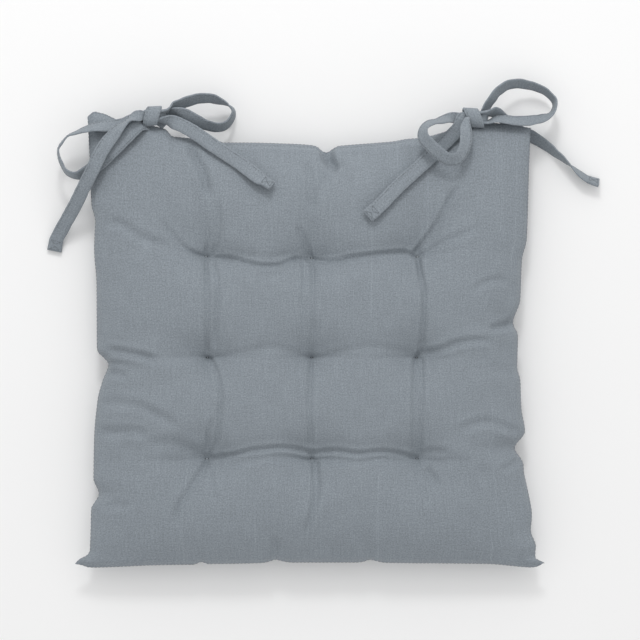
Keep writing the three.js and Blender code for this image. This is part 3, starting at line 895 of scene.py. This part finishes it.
def thick_cloth(name, grid, places, facing):
    """A closed cloth with the grid as its outside; facing is 1 for the face and -1 for the underside."""
    inside = grid - grid_normals(grid) * (CLOTH_THICKNESS * facing)
    size = len(grid)
    outer = np.arange(size * size).reshape(size, size)
    faces = [grid_quads(outer, facing < 0), grid_quads(outer + outer.size, facing > 0)]
    wall = rim_walls(outer)
    faces.append(wall if facing > 0 else wall[:, ::-1])
    piece = mesh_piece(name, np.concatenate([grid, inside]).reshape(-1, 3), np.concatenate(faces))
    u, v = np.meshgrid(places * CUT_HALF, places * CUT_HALF)
    map_cloth(piece.data, np.tile(np.stack([u.ravel(), v.ravel()], axis=1), (2, 1)))
    return piece


def edge_fade(places):
    """0 on the seam, 1 from a little way in."""
    u, v = np.meshgrid(places, places)
    return np.clip((1 - np.maximum(np.abs(u), np.abs(v))) / EDGE_FADE, 0, 1)[..., None]


def add_cover():
    face_grid, under_grid = fill_pad(CUT_CELLS)
    places = cloth_places(CLOTH_CELLS)
    face, under = finer(face_grid, places), finer(under_grid, places)
    fade = edge_fade(places)
    face = face + (crease_cloth(face) - face) * fade
    under = under - (crease_cloth(under, mirrored=True, strength=0.4) - under) * fade
    under[..., 2] = np.maximum(under[..., 2], FLOOR_CLEARANCE)
    face[..., 2] = np.maximum(face[..., 2], under[..., 2] + CLOTH_GAP * fade[..., 0])
    top = thick_cloth("face_cloth", face, places, 1)
    bottom = thick_cloth("underside_cloth", under, places, -1)
    return top, bottom, face, under


def within(heights, reach, pick):
    """The lowest or highest height within a few steps of each place, pick being np.minimum or np.maximum."""
    for axis in (0, 1):
        wide = np.pad(heights, [(reach, reach) if a == axis else (0, 0) for a in (0, 1)], mode="edge")
        here = np.arange(heights.shape[axis])
        heights = pick.reduce([np.take(wide, here + step, axis) for step in range(2 * reach + 1)])
    return heights


def add_filling(face, under):
    """The fibre filling, just inside the two cloths and clear of every crease."""
    top, low = face.copy(), under.copy()
    top[..., 2] = within(face[..., 2], FILLING_STEP, np.minimum) - FILLING_GAP
    low[..., 2] = within(under[..., 2], FILLING_STEP, np.maximum) + FILLING_GAP / 2
    middle = (top[..., 2] + low[..., 2]) / 2
    top[..., 2] = np.maximum(top[..., 2], middle + 0.0002)
    low[..., 2] = np.minimum(low[..., 2], middle - 0.0002)
    steps = slice(3 * FILLING_STEP, len(face) - 3 * FILLING_STEP, FILLING_STEP)
    top, low = top[steps, steps], low[steps, steps]
    size = len(top)
    index = np.arange(size * size).reshape(size, size)
    faces = np.concatenate([two_cloth_faces(index, index + index.size), rim_walls(index)])
    return mesh_piece("fibre_filling", np.concatenate([top, low]).reshape(-1, 3), faces)


def cell_at(places, value):
    """The step that holds a value, and how far through the step it lies."""
    k = int(np.clip(np.searchsorted(places, value) - 1, 0, len(places) - 2))
    return k, (value - places[k]) / (places[k + 1] - places[k])


def on_cloth(grid, places, s, t):
    """The point and the outward normal of the cloth at a place of its cut."""
    normals = grid_normals(grid)
    (k, a), (j, b) = cell_at(places, s), cell_at(places, t)
    shares = (
        (j, k, (1 - a) * (1 - b)), (j, k + 1, a * (1 - b)),
        (j + 1, k, (1 - a) * b), (j + 1, k + 1, a * b),
    )
    point = sum(grid[r, c] * share for r, c, share in shares)
    return point, unit(sum(normals[r, c] * share for r, c, share in shares))


def tuft_thread(name, s, t, face, under):
    """A short bar stitch on each side of the pad, joined by two legs through the filling."""
    places = cloth_places(CLOTH_CELLS)
    above, below = on_cloth(face, places, s, t)[0], on_cloth(under, places, s, t)[0]
    right, back, up = np.eye(3)
    high, low = np.array([0, 0, above[2] + 0.0002]), np.array([0, 0, below[2] - 0.0001])
    centre = np.array([above[0], above[1], 0])
    stitches = [
        (centre + high, right, back, up, 2 * HOLE_STEP, BAR_HALF, 0.0004),
        (centre + low, right, -back, -up, 2 * HOLE_STEP, BAR_HALF, 0.0003),
    ]
    for step in (-HOLE_STEP, HOLE_STEP):
        middle = centre + (high + low) / 2 + right * step
        stitches.append((middle, up, right, back, high[2] - low[2], LEG_HALF, LEG_HALF))
    return stitch_piece(name, stitches)


def seam_thread(face):
    """The edge seam's stitches, glimpsed between the two cloths all round."""
    rim = rim_of(face)
    closed = np.vstack([rim, rim[:1]])
    along = lengths_along(closed)
    stitches = []
    for distance in np.arange(0.002, along[-1] - 0.002, SEAM_STITCH):
        here, ahead = (points_at(distance + further, along, closed) for further in (0, 0.001))
        way = unit(ahead - here)
        out = unit(np.cross(way, UP))
        stitches.append((here, way, np.cross(out, way), out, SEAM_STITCH * 0.7, 0.0002, 0.0002))
    return stitch_piece("edge_seam_stitches", stitches)


def closing_thread(face):
    """The topstitched line that closes the opening in the back seam."""
    places = cloth_places(CLOTH_CELLS)
    t = 1 - CLOSING_INSET / CUT_HALF
    stitches = []
    for s in np.arange(-0.95, 0.95, SEAM_STITCH / CUT_HALF):
        here, normal = on_cloth(face, places, s, t)
        if abs(here[0]) > CLOSING_HALF:
            continue
        way = unit(on_cloth(face, places, s + 0.005, t)[0] - here)
        stitches.append((here, way, np.cross(normal, way), normal, SEAM_STITCH * 0.65, 0.00025, 0.00022))
    return stitch_piece("closing_stitches", stitches)


top_cloth, bottom_cloth, face_grid, under_grid = add_cover()

# ---- materials

THREAD_PITCH = 0.00055       # from one thread of the weave to the next
WARP_GRAIN = (900, 45)       # unevenness across and along the warp threads, per metre
WEFT_GRAIN = (60, 850)
SLUB_GRAIN = (330, 2.5)
SLUB_FROM, SLUB_FULL = 0.66, 0.76      # where in its noise a slub begins, and is whole
FLECK_GRAIN = 780.0
CLOUD_GRAIN = 55.0
CROWN_LIGHT = 0.05           # how much lighter warp threads look than weft threads
WARP_VARIES = 0.30           # spread of lightness between warp threads, and so on
WEFT_VARIES = 0.22
FLECK_VARIES = 1.15
CLOUD_VARIES = 0.08
SLUB_LIGHT = 0.10            # how much lighter a thick warp thread looks
HOLE_SHADE_DARKNESS = 0.8              # painted shade: how much darker the cloth is coloured in a needle hole
COOL_YARN = (0.205, 0.236, 0.268, 1)
WARM_YARN = (0.268, 0.297, 0.323, 1)


class Maker:
    """A new material, with short calls for its nodes."""

    def __init__(self, name):
        self.material = bpy.data.materials.new(name)
        self.material.use_nodes = True
        self.nodes, self.links = self.material.node_tree.nodes, self.material.node_tree.links

    def feed(self, node, inputs):
        """Links or sets each of a node's inputs."""
        for key, value in inputs.items():
            if isinstance(value, bpy.types.NodeSocket):
                self.links.new(value, node.inputs[key])
            else:
                node.inputs[key].default_value = value

    def put(self, kind, inputs, **settings):
        node = self.nodes.new(kind)
        for key, value in settings.items():
            setattr(node, key, value)
        self.feed(node, inputs)
        return node

    def math(self, operation, first, second=0.0, third=0.0):
        return self.put("ShaderNodeMath", {0: first, 1: second, 2: third}, operation=operation).outputs[0]

    def noise(self, vector, scale, detail=2.0, roughness=0.5):
        inputs = {"Vector": vector, "Scale": scale, "Detail": detail, "Roughness": roughness}
        return self.put("ShaderNodeTexNoise", inputs).outputs["Fac"]

    def stretched(self, vector, across, along):
        inputs = {"Vector": vector, "Scale": (across, along, 1)}
        return self.put("ShaderNodeMapping", inputs).outputs["Vector"]

    def mixed(self, share, first, second):
        """A colour between two others."""
        return self.put("ShaderNodeMix", {0: share, 6: first, 7: second}, data_type="RGBA").outputs[2]

    def object_place(self):
        return self.put("ShaderNodeTexCoord", {}).outputs["Object"]

    def surface(self, inputs):
        """Gives the material's own shader its inputs."""
        self.feed(self.nodes["Principled BSDF"], inputs)
        return self.material

    def relief(self, height, strength, distance):
        """Normals that show a fine relief of this height."""
        inputs = {"Strength": strength, "Distance": distance, "Height": height}
        return self.put("ShaderNodeBump", inputs).outputs[0]


def weave_nodes(make, place):
    """Plain weave: 1 where a warp thread lies on top, -1 where a weft thread does, and the crowns' height."""
    parts = make.put("ShaderNodeSeparateXYZ", {"Vector": place}).outputs
    across = make.math("SINE", make.math("MULTIPLY", parts["X"], math.pi / THREAD_PITCH))
    along = make.math("SINE", make.math("MULTIPLY", parts["Y"], math.pi / THREAD_PITCH))
    crossing = make.math("MULTIPLY", across, along)
    return crossing, make.math("ABSOLUTE", crossing)


def needle_hole_shade_nodes(make, place):
    """Painted shade: dark in the two needle holes of each tuft, 1 elsewhere; tufts stand at every quarter of
    the cut.
    """
    parts = make.put("ShaderNodeSeparateXYZ", {"Vector": place}).outputs
    step = CUT_HALF / 2
    offsets = []
    inside = 1.0
    for axis in ("X", "Y"):
        nearest = make.math("SNAP", make.math("ADD", parts[axis], step / 2), step)
        offsets.append(make.math("ABSOLUTE", make.math("SUBTRACT", parts[axis], nearest)))
        within_rows = make.math("LESS_THAN", make.math("ABSOLUTE", parts[axis]), 1.5 * step)
        inside = make.math("MULTIPLY", within_rows, inside)
    across = make.math("SUBTRACT", offsets[0], HOLE_STEP)
    squares = [make.math("POWER", off, 2.0) for off in (make.math("ABSOLUTE", across), offsets[1])]
    away = make.math("SQRT", make.math("ADD", *squares))
    fade = {0: away, 1: HOLE_SHADE_RADIUS * 0.5, 2: HOLE_SHADE_RADIUS * 1.3, 3: HOLE_SHADE_DARKNESS, 4: 0.0}
    depth = make.put("ShaderNodeMapRange", fade).outputs[0]
    return make.math("SUBTRACT", 1.0, make.math("MULTIPLY", depth, inside))


def cloth_material(name, tufted=False):
    """Yarn-dyed plain-weave cotton: blue grey threads that vary, slubs along the warp, a little sheen; when
    tufted, painted shade in the tufts' needle holes.
    """
    make = Maker(name)
    place = make.put("ShaderNodeUVMap", {}, uv_map="cut").outputs["UV"]
    crossing, crown = weave_nodes(make, place)
    warp = make.noise(make.stretched(place, *WARP_GRAIN), 1.0, detail=3)
    weft = make.noise(make.stretched(place, *WEFT_GRAIN), 1.0, detail=2)
    fleck = make.noise(place, FLECK_GRAIN, detail=3, roughness=0.7)
    cloud = make.noise(place, CLOUD_GRAIN, detail=2)
    shade = 1.0
    spreads = ((warp, WARP_VARIES), (weft, WEFT_VARIES), (fleck, FLECK_VARIES), (cloud, CLOUD_VARIES))
    for unevenness, spread in spreads:
        level = make.math("MULTIPLY_ADD", unevenness, spread, 1 - spread / 2)
        shade = make.math("MULTIPLY", shade, level)
    shade = make.math("MULTIPLY", shade, make.math("MULTIPLY_ADD", crossing, CROWN_LIGHT, 1.0))
    slub = make.noise(make.stretched(place, *SLUB_GRAIN), 1.0, detail=1)
    light = {0: slub, 1: SLUB_FROM, 2: SLUB_FULL, 3: 1.0, 4: 1 + SLUB_LIGHT}
    shade = make.math("MULTIPLY", shade, make.put("ShaderNodeMapRange", light).outputs[0])
    # painted shade: the cloth's colour darkens in each tuft's two needle holes
    if tufted:
        shade = make.math("MULTIPLY", shade, needle_hole_shade_nodes(make, place))
    tint = make.mixed(fleck, COOL_YARN, WARM_YARN)
    level = make.put("ShaderNodeCombineXYZ", {0: shade, 1: shade, 2: shade}).outputs[0]
    return make.surface({
        "Base Color": make.put("ShaderNodeVectorMath", {0: tint, 1: level}, operation="MULTIPLY").outputs[0],
        "Roughness": make.math("MULTIPLY_ADD", fleck, 0.16, 0.78),
        "Normal": make.relief(make.math("MULTIPLY_ADD", fleck, 0.5, crown), 0.35, 0.0002),
        "Specular IOR Level": 0.25,
        "Sheen Weight": 0.12,
        "Sheen Roughness": 0.5,
    })


def thread_material(name, dark, light):
    """Polyester sewing thread with its twist."""
    make = Maker(name)
    twist = make.noise(make.object_place(), 2600.0, detail=1)
    return make.surface({
        "Base Color": make.mixed(twist, dark, light),
        "Roughness": 0.55,
        "Normal": make.relief(twist, 0.4, 0.0001),
    })


def filling_material():
    """White polyester fibre, matted."""
    make = Maker("fibre_wadding")
    matted = make.noise(make.stretched(make.object_place(), 1, 2.5), 420.0, detail=5, roughness=0.7)
    return make.surface({
        "Base Color": make.mixed(matted, (0.72, 0.72, 0.70, 1), (0.88, 0.88, 0.86, 1)),
        "Roughness": 0.95,
        "Normal": make.relief(matted, 0.8, 0.001),
    })


cloth_look = cloth_material("woven_cotton")
# the cover cloths carry painted shade in the tufts' needle holes
cover_look = cloth_material("tufted_cotton_hole_shade", tufted=True)
# the seam and tie stitch thread: its own colour, darkened with painted shade for the dimples the stitches
# press into the cloth
dimple_shaded_thread_look = thread_material("seam_thread", (0.10, 0.115, 0.13, 1), (0.17, 0.19, 0.21, 1))
tuft_look = thread_material("tuft_thread", (0.30, 0.335, 0.36, 1), (0.45, 0.49, 0.51, 1))
filling_look = filling_material()
for piece in (top_cloth, bottom_cloth):
    piece.data.materials.append(cover_look)
    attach(piece, "root")
filling = add_filling(face_grid, under_grid)
filling.data.materials.append(filling_look)
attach(filling, "root")
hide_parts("filling")
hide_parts("top_cover")
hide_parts("bottom_cover")

sewn_pieces = {
    "edge_seam_thread": seam_thread(face_grid),
    "closing_seam_thread": closing_thread(face_grid),
}
for row, t in enumerate(TUFT_CUT):
    for column, s in enumerate(TUFT_CUT):
        number = row * 3 + column + 1
        tuft = tuft_thread(f"tuft_bar_{number}", s, t, face_grid, under_grid)
        sewn_pieces[f"tuft_stitch_{number}"] = tuft
for name, piece in sewn_pieces.items():
    piece.data.materials.append(tuft_look if name.startswith("tuft") else dimple_shaded_thread_look)
    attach(piece, "root")
    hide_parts(name)

KNOTS = {
    "tie_left_outer": LEFT_KNOT, "tie_left_inner": LEFT_KNOT,
    "tie_right_inner": RIGHT_KNOT, "tie_right_outer": RIGHT_KNOT,
}
for name, knot in KNOTS.items():
    strip, threads, curve, length = make_tie(name, knot)
    strip.data.materials.append(cloth_look)
    # the tie's stitching gets the thread colour with painted dimple shade
    threads.data.materials.append(dimple_shaded_thread_look)
    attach(strip, "root")
    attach(threads, "root")
    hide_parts(name)

# ---- floor and light

FLOOR_HALF = 3
LIGHTS = (                   # name, place, size and power of each area light
    ("back_light", (0.0, 1.7, 1.5), 1.8, 8),
    ("key_light", (-0.1, 1.6, 1.4), 0.35, 10),
)
WORLD_STRENGTH = 0.8


def add_floor():
    corners = [(x * FLOOR_HALF, y * FLOOR_HALF, 0) for x, y in ((-1, -1), (1, -1), (1, 1), (-1, 1))]
    floor = mesh_piece("floor", corners, [(0, 1, 2, 3)], smooth=False)
    look = Maker("pale_floor").surface({"Base Color": (0.9, 0.9, 0.9, 1), "Roughness": 0.8})
    floor.data.materials.append(look)


def add_area_light(name, place, size, power):
    data = bpy.data.lights.new(name, "AREA")
    data.size = size
    data.energy = power
    lamp = bpy.data.objects.new(name, data)
    lamp.location = place
    lamp.rotation_euler = Vector(place).to_track_quat("Z", "Y").to_euler()
    scene.collection.objects.link(lamp)


add_floor()
for light in LIGHTS:
    add_area_light(*light)
world = bpy.data.worlds.new("studio")
world.use_nodes = True
world.node_tree.nodes["Background"].inputs["Color"].default_value = (1, 1, 1, 1)
world.node_tree.nodes["Background"].inputs["Strength"].default_value = WORLD_STRENGTH
scene.world = world
scene.view_settings.view_transform = "Standard"
